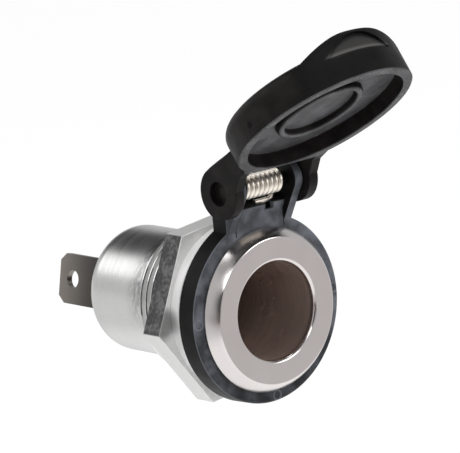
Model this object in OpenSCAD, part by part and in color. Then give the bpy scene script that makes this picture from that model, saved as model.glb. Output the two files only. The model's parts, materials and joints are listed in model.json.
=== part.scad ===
// Panel-mounted 12 V power socket with a hinged lid.
// The socket's axis is Y and its mouth faces -Y. The base ring's rear face,
// which seats on the panel, is the plane y = 0. The lid's hinge is above (+Z).

/* [Mouth] */
// Diameter of the bore that takes the plug
bore_d = 12; // [11:0.25:13]
// Depth of the bore from the front face to the contact carrier
bore_depth = 20; // [17:0.5:21]
// Bevel at the mouth of the bore
mouth_bevel = 0.5; // [0.2:0.1:0.8]
// Diameter of the flat front face
face_d = 17.9; // [16.5:0.25:18.5]
// Diameter of the flange where it meets the base ring
flange_d = 20.1; // [19.5:0.1:20.4]
// Height of the flange in front of the base ring
flange_h = 1.8; // [1.4:0.1:2.6]

/* [Barrel] */
// Nominal diameter of the thread
thread_d = 18; // [17.5:0.1:18.4]
// Pitch of the thread
thread_pitch = 1; // [0.75:0.25:1.5]
// Length of the thread behind the panel seat
thread_len = 11; // [8:0.5:13]
// Diameter of the smooth barrel
barrel_d = 15.7; // [15:0.1:16.5]
// Length of the shell behind the panel seat
shell_len = 23.2; // [21:0.2:26]
// Outer radius of the rolled rear edge
roll_r = 2.6; // [1.8:0.1:2.8]
// Thickness of the wall round the contact carrier
carrier_wall = 0.95; // [0.6:0.05:1.1]
// Thickness of the rolled lip over the rear insulator
lip_t = 1.2; // [0.8:0.1:1.4]

/* [Base ring] */
// Thickness of the base ring
ring_t = 2.7; // [2:0.1:3.4]
// Width of the base ring round the flange
ring_rim = 1.4; // [1.2:0.05:1.6]
// Draft of the base ring's side, from front to rear
ring_draft = 0.1; // [0:0.05:0.3]
// Diameter of each ejector mark
mark_d = 1.1; // [0.6:0.1:1.2]

/* [Hinge] */
// Distance of the hinge pin in front of the panel seat
pin_front = 3.3; // [2.9:0.1:3.6]
// Height of the hinge pin above the base ring's edge
pin_rise = 4.05; // [3.8:0.05:4.4]
// Diameter of the hinge pin
pin_d = 1.5; // [1.2:0.1:1.7]
// Radius of the lid's ears
lid_ear_r = 3.2; // [2.6:0.05:3.25]
// Thickness of each lid ear
lid_ear_t = 1.35; // [1.2:0.05:1.7]
// Radius of the base ring's ears
base_ear_r = 2.1; // [1.8:0.1:2.3]
// Thickness of each ear of the base ring
base_ear_t = 1.2; // [1:0.1:1.4]
// Clear width between the ears of the base ring
ear_gap = 7.6; // [7.2:0.1:8]
// Depth of the recess over each end of the pin
pin_recess = 0.8; // [0.3:0.1:0.9]
// Angle from the closed lid to the lid as shown
lid_open = 125.5; // [60:0.5:135]

/* [Lid] */
// Distance by which the lid's edge stands inside the base ring's edge
lid_inset = 0.05; // [0:0.05:0.2]
// Height of the lid above its rim
lid_h = 4.9; // [4.2:0.1:6]
// Radius of the lid's rounded upper edge
lid_round = 1.7; // [1.2:0.1:2.4]
// Rise of the crown from the rounded edge to the middle
crown = 0.35; // [0.1:0.05:0.6]
// Outer diameter of the bead that closes the bore
bead_d = 11.2; // [10.4:0.1:11.2]
// Width of the bead
bead_w = 0.95; // [0.6:0.05:1.4]
// Depth to which the bead enters the bore
bead_in = 1; // [0.4:0.1:1.2]
// Height of the finger grip's crest above the lid's rounded edge
grip_up = 1.3; // [0.8:0.05:1.6]
// Half width of the finger grip's crest at the lid's edge
grip_w = 6.3; // [5:0.1:7]
// Distance over which the finger grip runs back into the crown
grip_run = 4; // [3:0.1:5]
// Half width of the nail scoop under the crest
scoop_w = 4.7; // [3.5:0.1:5.5]
// Depth of the nail scoop
scoop_in = 0.45; // [0.2:0.05:0.6]

/* [Spring] */
// Diameter of the spring's wire
wire_d = 0.65; // [0.4:0.05:0.7]
// Number of turns, less the part turn that the open lid takes up
coil_turns = 9; // [6:1:9]

/* [Nut and washer] */
// Width of the nut across its flats
nut_af = 21.3; // [20.5:0.1:23]
// Thickness of the nut
nut_t = 3.1; // [2.5:0.1:4]
// Angle of the nut's first corner above +X
nut_turn = 6.5; // [0:0.5:60]
// Diameter of the clamp washer
washer_d = 20.5; // [20:0.1:21.5]
// Thickness of the clamp washer
washer_t = 1.6; // [0.8:0.1:2]
// Room left between the base ring and the washer for a panel
panel_room = 1.6; // [0.5:0.1:3]

/* [Contacts and terminals] */
// Outer diameter of the centre contact
contact_d = 5.8; // [5:0.1:6.4]
// Inner diameter of the centre contact
contact_bore_d = 4.6; // [4:0.1:4.8]
// Width of a terminal blade
blade_w = 6.3; // [4.8:0.1:6.5]
// Thickness of a terminal blade
blade_t = 0.8; // [0.5:0.1:0.9]
// Reach of the positive blade behind the panel seat
blade_reach = 32.5; // [29:0.1:35]
// Distance by which the ground blade is shorter
ground_short = 1.5; // [0:0.1:3]
// Distance of each blade from the socket's axis
blade_off = 3.75; // [3.4:0.05:3.8]
// Diameter of the hole in each blade
blade_hole_d = 2.3; // [1.6:0.1:2.5]
// Distance of the hole from the blade's end
blade_hole_in = 2.6; // [2.2:0.1:3.5]
// Angle by which the terminals are turned about the socket's axis
terminal_turn = 12; // [0:1:20]
// Diameter of the rivet's shank
rivet_d = 2; // [1.6:0.1:2.4]

/* [Fits] */
// Side clearance between parts that turn on each other
side_gap = 0.15; // [0.1:0.05:0.3]
// Radial clearance of the hinge pin in the lid
pin_gap = 0.05; // [0.02:0.01:0.08]
// Radial clearance of the nut on the thread
thread_gap = 0.05; // [0.02:0.01:0.1]
// Gap between closed faces that don't clamp
face_gap = 0.1; // [0.05:0.05:0.2]
// Radial clearance of the seated inner pieces
seat_gap = 0.03; // [0.02:0.01:0.08]

/* [Hidden] */
$fn = 72;
eps = 0.01;

bore_r = bore_d / 2;
flange_r = flange_d / 2;
ring_r = flange_r + ring_rim;
face_y = -(ring_t + flange_h);
seat_y = face_y + bore_depth;
thread_r = thread_d / 2;
// The solid shank and nut meet at the thread's mid height
pitch_r = thread_r - thread_pitch / 4;
barrel_r = barrel_d / 2;
lip_r = barrel_r - roll_r;
lip_y = shell_len - lip_t;
carrier_r = barrel_r - carrier_wall;

pin_y = -pin_front;
pin_up = ring_r + pin_rise;
pin_r = pin_d / 2;
base_ear_x = ear_gap / 2;
lid_ear_x = base_ear_x + base_ear_t + side_gap;
hinge_x = lid_ear_x + lid_ear_t;
tongue_z = pin_up - 2.5;

lid_r = ring_r - lid_inset;
rim_y = -(ring_t + face_gap);
top_y = rim_y - lid_h + crown;
recess_r = flange_r + face_gap;
floor_y = face_y - face_gap - side_gap;
// The lid is cut away here, in front of the base ring's ears
neck_z = recess_r + 0.1;
bridge_y = floor_y - 0.3;
bridge_t = 1.1;
crest_y = top_y - grip_up;
ridge_y = top_y + lid_round - 0.1;
grip_back = 3;
bridge_z = pin_up - base_ear_r - 0.5;

coil_r = pin_r + wire_d / 2 + 0.12;
coil_x = base_ear_x - wire_d / 2 - side_gap;

nut_y = panel_room + washer_t + eps;
blade_y = shell_len + 1.2;
insulator_t = 0.8;
ground_y = lip_y - blade_t;
insulator_y = ground_y - insulator_t;
head_r = rivet_d / 2 + 0.8;
head_t = 0.6;

// Points of an arc, from angle a0 to a1
function arc(c, r, a0, a1, n = 8) =
    [for (i = [0:n]) c + r * [cos(a0 + (a1 - a0) * i / n), sin(a0 + (a1 - a0) * i / n)]];

// A solid turned about the socket's axis from [radius, y] points
module turned(profile) {
    rotate([-90, 0, 0]) rotate_extrude(convexity = 8) polygon(profile);
}

// A cylinder on the socket's axis, from y0 to y1
module plug(r, y0, y1) {
    translate([0, y0, 0]) rotate([-90, 0, 0]) cylinder(r = r, h = y1 - y0);
}

// An outline in [y, z] extruded along X, from x0 to x1
module across(x0, x1) {
    translate([x0, 0, 0]) rotate([90, 0, 90]) linear_extrude(x1 - x0, convexity = 6) children();
}

// A cylinder along X on the hinge's axis, from x0 to x1
module on_pin(r, x0, x1) {
    across(x0, x1) translate([pin_y, pin_up]) circle(r);
}

// A box between two corners
module block(a, b) {
    translate(a) cube(b - a);
}

module both_sides() {
    children();
    mirror([1, 0, 0]) children();
}

// The flange, shank, barrel and rolled lip are one turned and polished shell
module shell() {
    shoulder = [for (a = [30:10:90]) [
        face_d / 2 + (flange_d - face_d) / 2 * (sin(a) - 0.5) / 0.5,
        face_y + (flange_h - 0.3) * (cos(30) - cos(a)) / cos(30)]];
    color("silver") turned(concat(
        [[bore_r, face_y + mouth_bevel], [bore_r + mouth_bevel, face_y]],
        shoulder,
        [[flange_r, -ring_t], [thread_r, -ring_t], [thread_r, 0], [pitch_r, 0]],
        [[pitch_r, thread_len - 0.6], [barrel_r, thread_len]],
        arc([lip_r, shell_len - roll_r], roll_r, 0, 90),
        [[lip_r, lip_y], [carrier_r, lip_y], [carrier_r, seat_y], [bore_r, seat_y]]));
}

// One ear of the base ring, with its web down to the ring
module base_ear() {
    across(base_ear_x, base_ear_x + base_ear_t) {
        translate([pin_y, pin_up]) circle(base_ear_r);
        polygon([[0, ring_r - 3], [0, pin_up - 2.6], [pin_y + base_ear_r - 0.1, pin_up - 0.5],
            [pin_y - base_ear_r * 0.94, pin_up - base_ear_r * 0.34],
            [-ring_t - 0.1, recess_r + 0.3], [-ring_t, recess_r + 0.1], [-ring_t, ring_r - 3]]);
    }
}

// The moulded ring under the flange, with its hinge ears and spring tongue
module base_ring() {
    edge = 0.25;
    color([0.13, 0.13, 0.14]) difference() {
        union() {
            turned([[thread_r + seat_gap, -ring_t], [ring_r - edge, -ring_t],
                [ring_r, -ring_t + edge], [ring_r + ring_draft, 0], [thread_r + seat_gap, 0]]);
            both_sides() base_ear();
            difference() {
                across(-base_ear_x - eps, base_ear_x + eps)
                    polygon([[0, thread_r], [0, tongue_z - 1.1], [-1.1, tongue_z],
                        [-ring_t - 0.5, tongue_z], [-ring_t - 0.35, tongue_z - 0.6],
                        [-ring_t, tongue_z - 1.3], [-ring_t, thread_r]]);
                plug(thread_r + seat_gap, -ring_t - 1, eps);
            }
        }
        on_pin(pin_r + eps, -hinge_x, hinge_x);
        // Notch that takes the spring's leg
        block([0.75, -ring_t - 1, tongue_z - 0.9], [2.1, -ring_t + 0.9, tongue_z + 1]);
        for (a = [-88, 2, 178])
            rotate([0, -a, 0]) translate([(flange_r + ring_r) / 2, 0, 0])
                plug(mark_d / 2, -ring_t - 1, -ring_t + 0.15);
    }
}

// Outline of a lid arm and its ear, in [y, z]
module lid_arm_outline() {
    back_y = top_y + 1.3;
    translate([pin_y, pin_up]) circle(lid_ear_r);
    polygon(concat(
        [[rim_y, recess_r - 3], [rim_y, recess_r + 0.8], [pin_y + 1.5, pin_up - lid_ear_r + 0.4], [pin_y, pin_up]],
        [for (i = [0:8]) [pin_y - lid_ear_r + (back_y - pin_y + lid_ear_r) * (1 - cos(i * 22.5)) / 2,
            pin_up - i * (pin_up - recess_r + 1) / 8]],
        [[back_y, recess_r - 3]]));
}

// A round bar along Z whose front is at the height y over the lid's tip
module crest_bar(y, r) {
    translate([0, y + r, -lid_r - 2]) cylinder(r = r, h = lid_r + 2 - grip_back, $fn = 96);
}

// The finger grip: the lid's side carried up to a crest, which runs back into the crown
module grip() {
    crest_r = (grip_w * grip_w + grip_up * grip_up) / (2 * grip_up);
    foot_y = top_y - crown * 0.3;
    intersection() {
        turned(concat(
            [[0, ridge_y + 1], [lid_r, ridge_y + 1], [lid_r, crest_y + 0.5]],
            arc([lid_r - 0.5, crest_y + 0.5], 0.5, 0, -90, 4),
            [for (a = [0:15:90]) [lid_r - 0.7 - grip_run * sin(a),
                foot_y + (crest_y - foot_y) * (1 - sin(a))]],
            [[0, foot_y]]));
        crest_bar(crest_y, crest_r);
    }
}

// The hollow under the crest that a finger nail catches
module nail_scoop() {
    top = crest_y + 0.5;
    scoop_r = (scoop_w * scoop_w + pow(ridge_y - top, 2)) / (2 * (ridge_y - top));
    intersection() {
        turned(concat([[lid_r + 1, ridge_y]],
            [for (a = [0:15:90]) [lid_r - scoop_in * sin(a), ridge_y - (ridge_y - top) * (1 - cos(a))]],
            [[lid_r - scoop_in, crest_y - 1], [lid_r + 1, crest_y - 1]]));
        crest_bar(top, scoop_r);
    }
}

// The lid as it lies on the base ring
module lid_closed() {
    difference() {
        union() {
            turned(concat([[0, rim_y], [lid_r - 0.15, rim_y], [lid_r, rim_y - 0.15]],
                arc([lid_r - lid_round, top_y + lid_round], lid_round, 0, -90),
                [for (i = [1:6]) [(lid_r - lid_round) * (1 - i / 6), top_y - crown * sin(i * 15)]]));
            grip();
            both_sides() across(lid_ear_x, hinge_x) lid_arm_outline();
            // Bridge over the spring
            across(-lid_ear_x - eps, lid_ear_x + eps)
                polygon([[bridge_y, neck_z - 2], [bridge_y, bridge_z], [bridge_y - bridge_t + 0.4, bridge_z],
                    [bridge_y - bridge_t, bridge_z - 0.5], [bridge_y - bridge_t, neck_z - 2]]);
        }
        difference() {
            plug(recess_r, floor_y, rim_y + 1);
            plug(bead_d / 2, floor_y - 1, face_y + bead_in);
        }
        plug(bead_d / 2 - bead_w, floor_y, rim_y + 1);
        nail_scoop();
        // Room for the base ring's ears and the spring
        block([-lid_ear_x, bridge_y, neck_z], [lid_ear_x, rim_y + 1, pin_up + lid_ear_r + 1]);
        both_sides() on_pin(pin_r * 2, hinge_x - pin_recess, hinge_x + 1);
        on_pin(pin_r + pin_gap, -hinge_x - 1, hinge_x + 1);
        // Slot and pocket for the spring's leg
        spring_leg_room();
    }
}

// Turns the closed lid's frame to the lid as shown
module opened() {
    translate([0, pin_y, pin_up]) rotate([-lid_open, 0, 0]) translate([0, -pin_y, -pin_up]) children();
}

module lid() {
    color([0.12, 0.12, 0.12]) opened() lid_closed();
}

module hinge_pin() {
    color("gainsboro") on_pin(pin_r, -hinge_x + pin_recess, hinge_x - pin_recess);
}

// Ends of the spring's lid leg, in the closed lid's frame
leg_x = -coil_x;
leg_root = [leg_x, pin_y - coil_r, pin_up];
leg_tip = [leg_x, bridge_y - bridge_t / 2, neck_z - 0.9];

module spring_leg_room() {
    way = leg_tip - leg_root;
    tilt = atan2(way[1], -way[2]);
    block([leg_x - wire_d / 2 - 0.2, bridge_y - bridge_t + 0.3, neck_z], [leg_x + wire_d / 2 + 0.2, bridge_y + 1, pin_up]);
    translate(leg_tip) rotate([tilt, 0, 0]) translate([0, 0, -0.2]) cylinder(d = wire_d + 0.25, h = 2.2, $fn = 24);
}

// A round wire swept along points that never run along X
function unit(v) = v / norm(v);
function turn_open(p) = [p[0],
    pin_y + (p[1] - pin_y) * cos(lid_open) + (p[2] - pin_up) * sin(lid_open),
    pin_up - (p[1] - pin_y) * sin(lid_open) + (p[2] - pin_up) * cos(lid_open)];

module wire(path, d, sides = 6) {
    last = len(path) - 1;
    rings = [for (i = [0:last])
        let (t = unit(path[min(i + 1, last)] - path[max(i - 1, 0)]),
             u = unit(cross(t, [1, 0, 0])),
             v = cross(t, u))
        for (k = [0:sides - 1]) path[i] + d / 2 * (cos(k * 360 / sides) * u + sin(k * 360 / sides) * v)];
    sleeve = [for (i = [0:last - 1]) for (k = [0:sides - 1])
        [i * sides + k, i * sides + (k + 1) % sides, (i + 1) * sides + (k + 1) % sides, (i + 1) * sides + k]];
    polyhedron(points = rings, convexity = 10,
        faces = concat([[for (k = [sides - 1:-1:0]) k]], sleeve, [[for (k = [0:sides - 1]) last * sides + k]]));
}

// Torsion spring: ring leg, close-wound coil and lid leg in one wire
module lid_spring() {
    sweep = 360 * coil_turns - 90 - lid_open;
    steps = coil_turns * 12;
    coil = [for (i = [0:steps])
        let (a = -90 - sweep * i / steps)
        [coil_x - 2 * coil_x * i / steps, pin_y - coil_r * cos(a), pin_up + coil_r * sin(a)]];
    ring_leg = [[1.35, pin_y + 0.25, tongue_z - 0.45], [2.5, pin_y - 0.35, pin_up - coil_r - 0.35]];
    color("lightgrey") wire(concat(ring_leg, coil, [turn_open(leg_tip)]), wire_d);
}

module clamp_washer() {
    color("lightgrey") turned([[thread_r + 0.1, panel_room], [washer_d / 2 - 0.1, panel_room],
        [washer_d / 2, panel_room + 0.1], [washer_d / 2, nut_y - eps], [thread_r + 0.1, nut_y - eps]]);
}

module hex_nut() {
    nut_bore = pitch_r + thread_gap;
    color("lightgrey") difference() {
        translate([0, nut_y, 0]) rotate([-90, -nut_turn, 0]) cylinder(d = nut_af / cos(30), h = nut_t, $fn = 6);
        turned([[0, nut_y - 1], [nut_bore + 0.4, nut_y - 1], [nut_bore + 0.4, nut_y], [nut_bore, nut_y + 0.4],
            [nut_bore, nut_y + nut_t - 0.4], [nut_bore + 0.4, nut_y + nut_t], [nut_bore + 0.4, nut_y + nut_t + 1],
            [0, nut_y + nut_t + 1]]);
    }
}

carrier_floor = insulator_y - 0.9;

// Insulating carrier at the bottom of the bore, with a well for the centre contact
module contact_carrier() {
    color("saddlebrown") turned([[contact_d / 2 + 0.3, seat_y + eps], [carrier_r - seat_gap, seat_y + eps],
        [carrier_r - seat_gap, insulator_y], [rivet_d / 2 + seat_gap, insulator_y],
        [rivet_d / 2 + seat_gap, carrier_floor], [contact_d / 2 + 0.3, carrier_floor]]);
}

// Slotted cup that grips the plug's centre pin
module centre_contact() {
    color("goldenrod") difference() {
        turned([[contact_bore_d / 2 + 0.2, seat_y + 0.1], [contact_d / 2, seat_y + 0.4],
            [contact_d / 2, carrier_floor], [rivet_d / 2 + seat_gap, carrier_floor],
            [rivet_d / 2 + seat_gap, carrier_floor - 0.6], [contact_bore_d / 2, carrier_floor - 0.6],
            [contact_bore_d / 2, seat_y + 0.5]]);
        for (a = [45, 135])
            rotate([0, a, 0]) block([-contact_d, seat_y - 1, -0.25], [contact_d, carrier_floor - 1.2, 0.25]);
    }
}

// Rivet through the contact, the carrier, the insulator and the positive blade
module contact_rivet() {
    front = carrier_floor - 0.6;
    rear = lip_y + blade_t + 0.4;
    color("goldenrod") turned([[0, front - head_t], [head_r - 0.3, front - head_t], [head_r, front - head_t / 2],
        [head_r, front], [rivet_d / 2, front], [rivet_d / 2, rear], [head_r, rear],
        [head_r * 0.8, rear + head_t * 0.7], [0, rear + head_t]]);
}

module rivet_washer() {
    front = lip_y + blade_t;
    color("silver") turned([[rivet_d / 2 + seat_gap, front], [head_r + 0.4, front], [head_r + 0.4, front + 0.4],
        [rivet_d / 2 + seat_gap, front + 0.4]]);
}

// Everything below is turned with the terminals
module with_terminals() {
    rotate([0, terminal_turn, 0]) children();
}

// Insulating disc with a raised half that parts the two terminals
module rear_insulator() {
    color("saddlebrown") with_terminals() difference() {
        union() {
            plug(carrier_r - seat_gap, insulator_y, ground_y);
            intersection() {
                plug(carrier_r - seat_gap, ground_y - eps, lip_y);
                block([-carrier_r, ground_y - eps, -carrier_r], [0.2, lip_y, carrier_r]);
            }
            plug(2.4, ground_y - eps, lip_y);
        }
        plug(rivet_d / 2 + seat_gap, insulator_y - 1, lip_y + 1);
    }
}

// Outline of a blade in [y, z], from its neck to its bevelled end
module blade_outline(from_y, end_y) {
    w = blade_w / 2;
    neck = w - 0.7;
    difference() {
        polygon([[from_y, -neck], [blade_y - 0.5, -neck], [blade_y, -w], [end_y - 1.1, -w], [end_y, -w + 0.9],
            [end_y, w - 0.9], [end_y - 1.1, w], [blade_y, w], [blade_y - 0.5, neck], [from_y, neck]]);
        translate([end_y - blade_hole_in, 0]) circle(d = blade_hole_d);
    }
}

// Riveted foot, bent back into a flat blade
module positive_blade() {
    color("tan") with_terminals() {
        across(-blade_off - blade_t / 2, -blade_off + blade_t / 2) blade_outline(lip_y, blade_reach);
        difference() {
            block([-blade_off, lip_y, -blade_w / 2 + 1], [0, lip_y + blade_t, blade_w / 2 - 1]);
            plug(rivet_d / 2 + seat_gap, lip_y - 1, lip_y + blade_t + 1);
        }
        difference() {
            plug(blade_w / 2 - 1, lip_y, lip_y + blade_t);
            plug(rivet_d / 2 + seat_gap, lip_y - 1, lip_y + blade_t + 1);
            block([-blade_w, lip_y - 1, -blade_w], [0, lip_y + blade_t + 1, blade_w]);
        }
    }
}

// Half ring held under the rolled lip, bent back into a flat blade
module ground_blade() {
    inner = blade_off - blade_t / 2;
    color("tan") with_terminals() {
        difference() {
            plug(carrier_r - seat_gap, ground_y, lip_y);
            plug(inner, ground_y - 1, lip_y + 1);
            block([-carrier_r, ground_y - 1, -carrier_r], [0.3, lip_y + 1, carrier_r]);
        }
        across(inner, inner + blade_t) blade_outline(ground_y, blade_reach - ground_short);
    }
}

shell();
base_ring();
lid();
hinge_pin();
lid_spring();
clamp_washer();
hex_nut();
contact_carrier();
centre_contact();
contact_rivet();
rivet_washer();
rear_insulator();
positive_blade();
ground_blade();
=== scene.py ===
"""Looks of a panel-mounted power socket with a hinged lid: pieces, finishes, light and camera."""

import json
import math

import bmesh
import bpy
from mathutils import Matrix, Vector


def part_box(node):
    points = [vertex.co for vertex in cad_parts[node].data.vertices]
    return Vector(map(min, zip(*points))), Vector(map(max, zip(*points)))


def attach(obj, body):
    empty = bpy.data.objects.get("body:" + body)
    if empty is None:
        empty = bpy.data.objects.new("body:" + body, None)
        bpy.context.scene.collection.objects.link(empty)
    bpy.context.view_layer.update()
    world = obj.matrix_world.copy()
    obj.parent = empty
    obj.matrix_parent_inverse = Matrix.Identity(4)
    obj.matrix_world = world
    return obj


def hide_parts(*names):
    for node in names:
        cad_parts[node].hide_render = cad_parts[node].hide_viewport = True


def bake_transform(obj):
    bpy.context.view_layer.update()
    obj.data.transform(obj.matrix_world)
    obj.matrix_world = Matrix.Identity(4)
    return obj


bl_info = {
    "name": "Panel power socket",
    "version": (1, 0, 0),
    "blender": (4, 5, 0),
    "location": "View3D > Sidebar > Power socket",
    "description": "Builds the visible pieces of a panel power socket",
    "category": "Add Mesh",
}

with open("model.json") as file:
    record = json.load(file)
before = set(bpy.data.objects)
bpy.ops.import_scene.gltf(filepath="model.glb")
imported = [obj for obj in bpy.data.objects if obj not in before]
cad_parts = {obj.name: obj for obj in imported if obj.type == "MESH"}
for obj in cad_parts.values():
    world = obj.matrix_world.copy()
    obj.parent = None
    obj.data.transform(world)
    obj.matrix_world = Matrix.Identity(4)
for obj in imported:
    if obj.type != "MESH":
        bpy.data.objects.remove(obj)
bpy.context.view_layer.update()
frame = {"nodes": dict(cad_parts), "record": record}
RECORD = frame["record"]

MM = 0.001
SAME_POINT = MM / 1000
AXIS = (0, 1, 0)

# The hinge and the bore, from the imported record
HINGE = next(joint for joint in RECORD["behaviour"]["joints"] if joint["name"] == "lid_hinge")
PIN = Vector(HINGE["pos_m"])
LID_OPEN = math.radians(HINGE["range_deg"][1])
PLUG = next(mount for mount in RECORD["mounts"] if mount["name"] == "plug_bore")
BORE = PLUG["dims"]["r_mm"] * MM

# The ring: its rim's front face, which the flange sits on, and the drop from the pin to its tongue
RING_FRONT = -2.7 * MM
TONGUE_DROP = 2.5 * MM
# Its ejector marks: their angles from +X, their distance from the axis, and the painted highlight line that
# rings each
MARK_TURNS = [math.radians(angle) for angle in (-88, 2, 178)]
MARK_REACH = 10.75 * MM
MARK_LINE = (0.45 * MM, 0.52 * MM, 0.6 * MM, 0.68 * MM)

# The shoulder's arc, as angles from the socket's axis at the face's edge and at the foot
SHOULDER_TURNS = (math.radians(30), math.radians(50))
SHOULDER_STEPS = 5

# On the closed lid: its rim's face, its ejector dimple and its parting line beside the grip
LID_RIM = RING_FRONT - 0.1 * MM
DIMPLE = (-11.36 * MM, -4.3 * MM, -0.88 * MM)
PARTING = -5.3 * MM
# The nail scoop is a lens under an arch: the arch's top, how fast it opens, its lower edge, and the
# height under which it lies
SCOOP_TOP = -8.1 * MM
SCOOP_OPENS = 75
SCOOP_FOOT = -5.95 * MM
SCOOP_SIDE = -9 * MM

# On the nut, seen from the front: its left flat lies beyond this, its painted shade ends at this height,
# and the corner under it, round which the front face takes painted shade, is this far out
SHADED_FLAT = -7.2 * MM
FLAT_SHADE_FOOT = -1.5 * MM
NUT_CORNER = -11.6 * MM

# The studio: the floor's height, and the strength of the tent that lights and is mirrored
FLOOR = -60 * MM
TENT = 0.6
# Dark gaps of the tent: where they lie, then the cosines at their core and edge, and how dark they are
DARK_GAPS = (
    ((0.2, 0.75, 0.63), 0.97, 0.86, 0.02),
    ((-0.62, -0.75, 0.21), 0.97, 0.88, 0.12),
    ((0.6, -0.25, 0.75), 0.97, 0.88, 0.2),
    ((-0.3, -0.35, 0.87), 0.98, 0.9, 0.4),
)
# What metal mirrors of the floor: grey in front, paler beside and behind, white right under the socket,
# and dark beyond the camera
MIRRORED_FRONT = (0.63, 0.61, 0.61)
MIRRORED_BEHIND = (0.78, 0.78, 0.78)
MIRRORED_BELOW = (1.15, 1.15, 1.15)
MIRRORED_DARK = (0.14, 0.11, 0.1)
BELOW = (0, -0.04, FLOOR)
DARK_PATCH = (-0.9, -1.2, FLOOR)

# The photograph's frame in pixels, and the camera's sensor width
PICTURE = (460, 453)
SENSOR = 36


class Nodes:
    """A node tree, with one way to add a node"""

    def __init__(self, tree):
        self.tree = tree

    def give(self, node, sockets):
        """Gives a node's sockets their values or links"""
        for key, value in sockets.items():
            value = getattr(value, "socket", value)
            if isinstance(value, bpy.types.NodeSocket):
                self.tree.links.new(value, node.inputs[key])
            else:
                node.inputs[key].default_value = value
        return node

    def node(self, kind, settings=None, sockets=None):
        """Adds a node, sets it, then fills its sockets"""
        node = self.tree.nodes.new(kind)
        for name, value in (settings or {}).items():
            setattr(node, name, value)
        return self.give(node, sockets or {})

    def step(self, value, start, end):
        """Rises smoothly from 0 at start to 1 at end"""
        span = {"Value": value, "From Min": start, "From Max": end}
        node = self.node("ShaderNodeMapRange", {"interpolation_type": "SMOOTHSTEP"}, span)
        return Value(self, node.outputs[0])

    def band(self, value, start, full, fade, end):
        """1 from full to fade, falling smoothly to 0 at start and at end"""
        return self.step(value, start, full) * self.step(value, end, fade)

    def between(self, share, first, second):
        """Mixes two shaders"""
        return self.node("ShaderNodeMixShader", {}, {0: share, 1: first.outputs[0], 2: second.outputs[0]})


class Value:
    """A number that varies over a surface, with the arithmetic that finishes need"""

    def __init__(self, nodes, socket):
        self.nodes = nodes
        self.socket = socket

    def _math(self, operation, *terms):
        node = self.nodes.node("ShaderNodeMath", {"operation": operation}, dict(enumerate(terms)))
        return Value(self.nodes, node.outputs[0])

    def __add__(self, other):
        return self._math("ADD", self, other)

    def __sub__(self, other):
        return self._math("SUBTRACT", self, other)

    def __rsub__(self, other):
        return self._math("SUBTRACT", other, self)

    def __mul__(self, other):
        return self._math("MULTIPLY", self, other)

    def __abs__(self):
        return self._math("ABSOLUTE", self)

    __radd__ = __add__
    __rmul__ = __mul__


class Finish(Nodes):
    """One procedural material on Object coordinates; its plain values hold where nothing is fed"""

    def __init__(self, name, colour, roughness, metallic=0.0, specular=0.5):
        self.material = bpy.data.materials.new(f"{name}_finish")
        self.material.use_nodes = True
        super().__init__(self.material.node_tree)
        self.shader = self.tree.nodes["Principled BSDF"]
        self.feed("Base Color", (*colour, 1))
        self.feed("Roughness", roughness)
        self.feed("Metallic", metallic)
        self.feed("Specular IOR Level", specular)
        self.place = self.node("ShaderNodeTexCoord").outputs["Object"]

    def feed(self, socket, value):
        self.give(self.shader, {socket: value})

    def vector(self, operation, *terms):
        return self.node("ShaderNodeVectorMath", {"operation": operation}, dict(enumerate(terms)))

    def noise(self, grains, detail=3.0, stretch=(1, 1, 1)):
        """Noise of that many grains a metre; a stretch under 1 draws them out along its axis"""
        where = self.node("ShaderNodeMapping", {}, {"Vector": self.place, "Scale": stretch})
        sockets = {"Vector": where.outputs[0], "Scale": grains, "Detail": detail}
        return Value(self, self.node("ShaderNodeTexNoise", {}, sockets).outputs[0])

    def part(self, axis):
        """One coordinate: X across, Y along the socket's axis, Z up"""
        return Value(self, self.node("ShaderNodeSeparateXYZ", {}, {"Vector": self.place}).outputs[axis])

    def radius(self):
        """Distance from the socket's axis"""
        flat = self.vector("MULTIPLY", self.place, (1, 0, 1))
        return Value(self, self.vector("LENGTH", flat.outputs[0]).outputs["Value"])

    def distance(self, point):
        """Distance from a point"""
        return Value(self, self.vector("DISTANCE", self.place, point).outputs["Value"])

    def mix(self, share, first, second):
        """Mixes two colours"""
        sockets = {0: share}
        for key, end in ((6, first), (7, second)):
            sockets[key] = end if isinstance(end, bpy.types.NodeSocket) else (*end, 1)
        return self.node("ShaderNodeMix", {"data_type": "RGBA"}, sockets).outputs[2]

    def shades(self, share, colour, spread):
        """A colour, from darker to lighter by that part of itself"""
        return self.mix(share, tinted(colour, 1 - spread), tinted(colour, 1 + spread))

    def bump(self, height, strength, depth, edge=0):
        """Gives the surface its grain and, where edge is given, rounded edges of that radius"""
        sockets = {"Height": height, "Strength": strength, "Distance": depth}
        if edge:
            sockets["Normal"] = self.node("ShaderNodeBevel", {"samples": 6}, {"Radius": edge}).outputs[0]
        self.feed("Normal", self.node("ShaderNodeBump", {}, sockets).outputs[0])
        return self.material


def tinted(colour, factor):
    """A colour, darker or lighter by a factor"""
    return tuple(tone * factor for tone in colour)


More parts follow.
